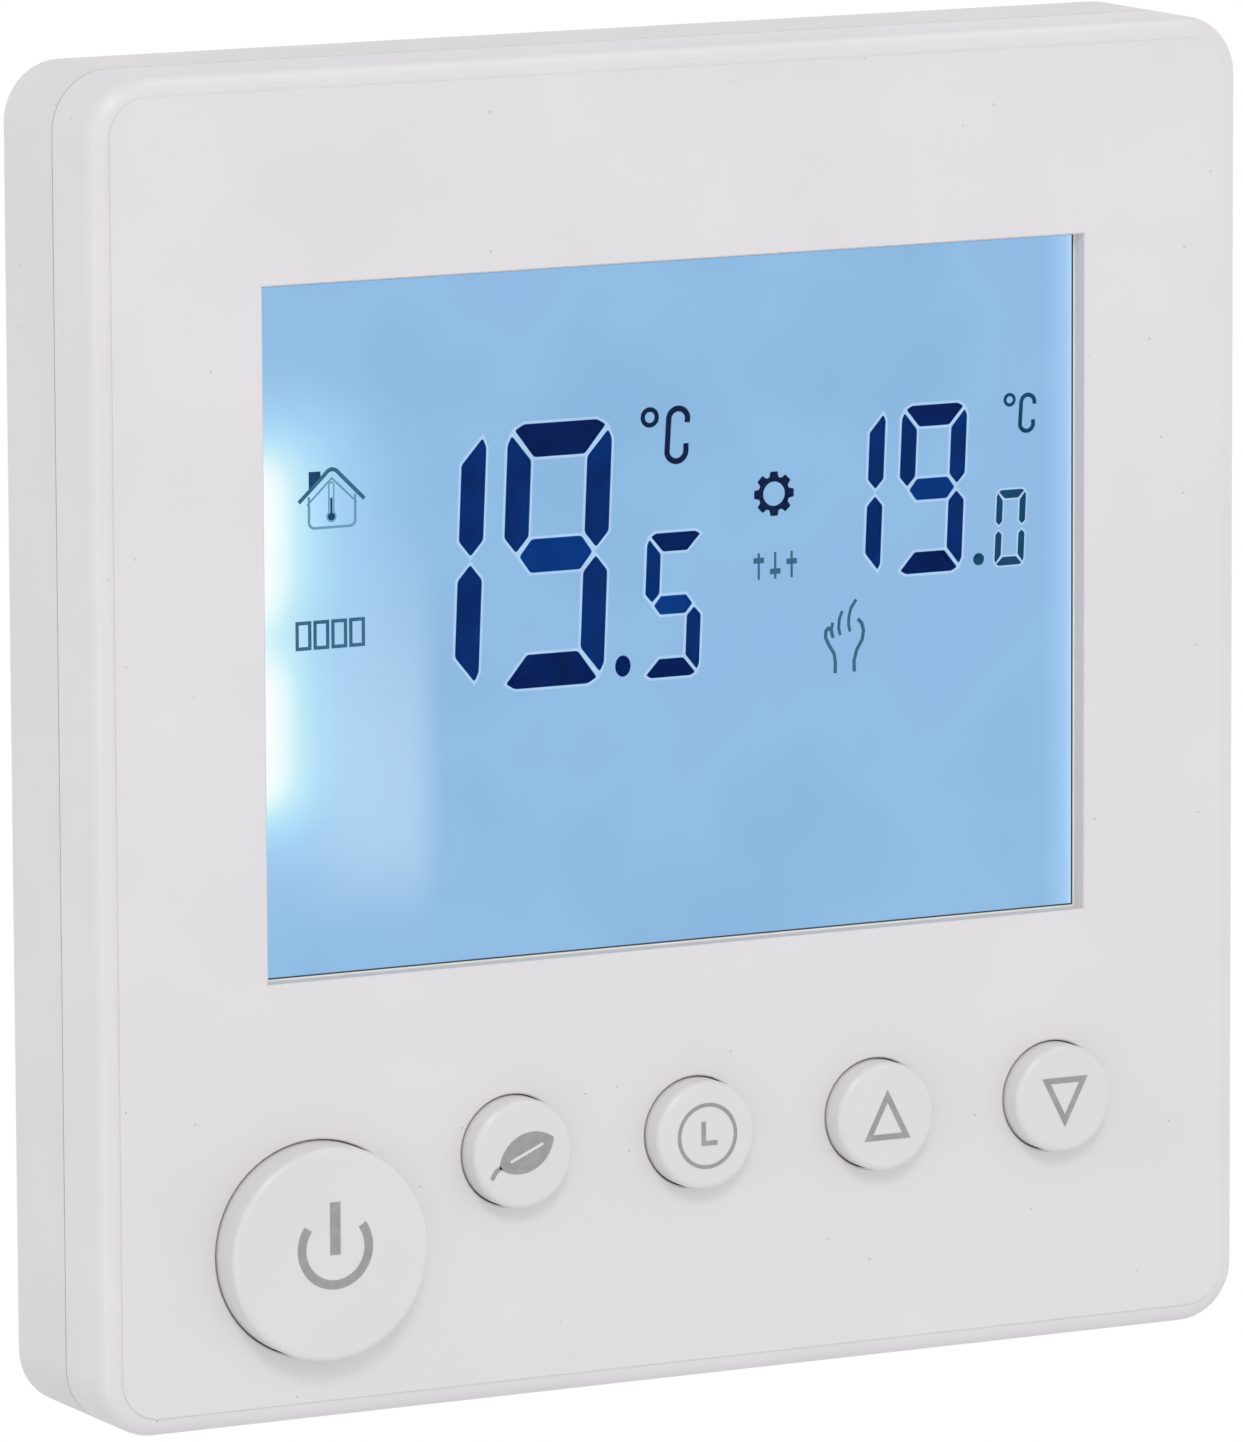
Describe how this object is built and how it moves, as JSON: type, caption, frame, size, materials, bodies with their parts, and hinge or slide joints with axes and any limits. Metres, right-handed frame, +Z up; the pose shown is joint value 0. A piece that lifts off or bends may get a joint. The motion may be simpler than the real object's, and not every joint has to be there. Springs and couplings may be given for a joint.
{
  "type": "wall thermostat",
  "caption": "White room thermostat for a wall box, with a backlit display window, a large power key and a row of small keys.",
  "frame": {"origin": "middle of the wall plane, halfway between the two wall screws", "axes": "+Z up, +X to the right seen from the room, +Y into the wall"},
  "size_m": [0.086, 0.0456, 0.09],
  "materials": {
    "casing_white": "fine-textured white ABS moulding",
    "key_white": "satin white ABS moulding with grey pad print",
    "clear_acrylic": "clear polished acrylic",
    "polariser_film": "grey polarising film",
    "display_glass": "display glass over blue backlight",
    "tinned_metal": "tinned sheet metal",
    "white_film": "white optical film",
    "light_guide_acrylic": "edge-lit clear acrylic",
    "lamp_resin": "moulded lamp package",
    "holder_white": "white moulded holder",
    "board_green": "glass-fibre board with green solder mask",
    "zinc_steel": "zinc-plated steel",
    "black_plastic": "black moulded nylon",
    "chip_epoxy": "black moulded epoxy",
    "cell_steel": "nickel-plated steel can",
    "gold_contact": "gold-flashed pins",
    "sensor_epoxy": "black epoxy bead",
    "chip_ceramic": "chip capacitors and resistors",
    "box_white": "flame-retardant white moulding",
    "ferrite": "sintered ferrite",
    "winding_tape": "yellow polyester tape over wire",
    "relay_blue": "blue relay case",
    "capacitor_sleeve": "shrink sleeve over aluminium can",
    "film_case": "yellow capacitor case",
    "varistor_blue": "blue epoxy coating",
    "fuse_ceramic": "ceramic fuse body",
    "terminal_green": "green moulded terminal block",
    "brass_contact": "plated brass"
  },
  "bodies": {
    "base": {"rear_frame": "casing_white", "mounting_plate": "zinc_steel", "power_box": "box_white", "plate_screws": "zinc_steel", "power_board": "board_green", "board_header": "gold_contact", "transformer_core": "ferrite", "transformer_bobbin": "black_plastic", "transformer_winding": "winding_tape", "relay": "relay_blue", "electrolytic_capacitors": "capacitor_sleeve", "film_capacitor": "film_case", "varistor": "varistor_blue", "fuse": "fuse_ceramic", "terminal_block": "terminal_green", "terminal_contacts": "brass_contact"},
    "front_panel": {"front_cover": "casing_white", "display_window": "clear_acrylic", "front_polariser": "polariser_film", "lcd_front_glass": "display_glass", "lcd_rear_glass": "display_glass", "rear_polariser": "polariser_film", "lcd_pins": "tinned_metal", "diffuser_sheet": "white_film", "light_guide": "light_guide_acrylic", "reflector_sheet": "white_film", "backlight_leds": "lamp_resin", "display_frame": "holder_white", "display_board": "board_green", "display_board_screws": "zinc_steel", "key_switch_bases": "black_plastic", "key_switch_metal": "tinned_metal", "microcontroller": "chip_epoxy", "coin_cell": "cell_steel", "cell_holder": "black_plastic", "board_socket": "black_plastic", "room_sensor": "sensor_epoxy", "smd_parts": "chip_ceramic"},
    "power_button": {"power_key": "key_white", "power_plunger": "black_plastic"},
    "eco_button": {"eco_key": "key_white", "eco_plunger": "black_plastic"},
    "clock_button": {"clock_key": "key_white", "clock_plunger": "black_plastic"},
    "up_button": {"up_key": "key_white", "up_plunger": "black_plastic"},
    "down_button": {"down_key": "key_white", "down_plunger": "black_plastic"},
    "screw_1": {"terminal_screw_1": "zinc_steel"},
    "clamp_1": {"terminal_clamp_1": "brass_contact"},
    "screw_2": {"terminal_screw_2": "zinc_steel"},
    "clamp_2": {"terminal_clamp_2": "brass_contact"},
    "screw_3": {"terminal_screw_3": "zinc_steel"},
    "clamp_3": {"terminal_clamp_3": "brass_contact"},
    "screw_4": {"terminal_screw_4": "zinc_steel"},
    "clamp_4": {"terminal_clamp_4": "brass_contact"},
    "screw_5": {"terminal_screw_5": "zinc_steel"},
    "clamp_5": {"terminal_clamp_5": "brass_contact"},
    "screw_6": {"terminal_screw_6": "zinc_steel"},
    "clamp_6": {"terminal_clamp_6": "brass_contact"}
  },
  "joints": [
    {"name": "front_panel_release", "type": "slide", "parent": "base", "child": "front_panel", "axis": [0, -1, 0], "range_m": [0, 0.03]},
    {"name": "power_press", "type": "slide", "parent": "front_panel", "child": "power_button", "axis": [0, 1, 0], "range_m": [0, 0.00025], "stiffness_N_per_m": 4000},
    {"name": "eco_press", "type": "slide", "parent": "front_panel", "child": "eco_button", "axis": [0, 1, 0], "range_m": [0, 0.00025], "stiffness_N_per_m": 4000},
    {"name": "clock_press", "type": "slide", "parent": "front_panel", "child": "clock_button", "axis": [0, 1, 0], "range_m": [0, 0.00025], "stiffness_N_per_m": 4000},
    {"name": "up_press", "type": "slide", "parent": "front_panel", "child": "up_button", "axis": [0, 1, 0], "range_m": [0, 0.00025], "stiffness_N_per_m": 4000},
    {"name": "down_press", "type": "slide", "parent": "front_panel", "child": "down_button", "axis": [0, 1, 0], "range_m": [0, 0.00025], "stiffness_N_per_m": 4000},
    {"name": "terminal_1_turn", "type": "hinge", "parent": "base", "child": "screw_1", "pos_m": [-0.0175, 0.017, -0.0215], "axis": [0, 1, 0], "range_deg": [0, 1801]},
    {"name": "terminal_1_rise", "type": "slide", "parent": "base", "child": "clamp_1", "axis": [0, 1, 0], "range_m": [0, 0.0025]},
    {"name": "terminal_2_turn", "type": "hinge", "parent": "base", "child": "screw_2", "pos_m": [-0.0105, 0.017, -0.0215], "axis": [0, 1, 0], "range_deg": [0, 1801]},
    {"name": "terminal_2_rise", "type": "slide", "parent": "base", "child": "clamp_2", "axis": [0, 1, 0], "range_m": [0, 0.0025]},
    {"name": "terminal_3_turn", "type": "hinge", "parent": "base", "child": "screw_3", "pos_m": [-0.0035, 0.017, -0.0215], "axis": [0, 1, 0], "range_deg": [0, 1801]},
    {"name": "terminal_3_rise", "type": "slide", "parent": "base", "child": "clamp_3", "axis": [0, 1, 0], "range_m": [0, 0.0025]},
    {"name": "terminal_4_turn", "type": "hinge", "parent": "base", "child": "screw_4", "pos_m": [0.0035, 0.017, -0.0215], "axis": [0, 1, 0], "range_deg": [0, 1801]},
    {"name": "terminal_4_rise", "type": "slide", "parent": "base", "child": "clamp_4", "axis": [0, 1, 0], "range_m": [0, 0.0025]},
    {"name": "terminal_5_turn", "type": "hinge", "parent": "base", "child": "screw_5", "pos_m": [0.0105, 0.017, -0.0215], "axis": [0, 1, 0], "range_deg": [0, 1801]},
    {"name": "terminal_5_rise", "type": "slide", "parent": "base", "child": "clamp_5", "axis": [0, 1, 0], "range_m": [0, 0.0025]},
    {"name": "terminal_6_turn", "type": "hinge", "parent": "base", "child": "screw_6", "pos_m": [0.0175, 0.017, -0.0215], "axis": [0, 1, 0], "range_deg": [0, 1801]},
    {"name": "terminal_6_rise", "type": "slide", "parent": "base", "child": "clamp_6", "axis": [0, 1, 0], "range_m": [0, 0.0025]}
  ],
  "couplings": [
    {"joint": "terminal_1_turn", "follows": "terminal_1_rise", "rad_per_m": 12566},
    {"joint": "terminal_2_turn", "follows": "terminal_2_rise", "rad_per_m": 12566},
    {"joint": "terminal_3_turn", "follows": "terminal_3_rise", "rad_per_m": 12566},
    {"joint": "terminal_4_turn", "follows": "terminal_4_rise", "rad_per_m": 12566},
    {"joint": "terminal_5_turn", "follows": "terminal_5_rise", "rad_per_m": 12566},
    {"joint": "terminal_6_turn", "follows": "terminal_6_rise", "rad_per_m": 12566}
  ]
}
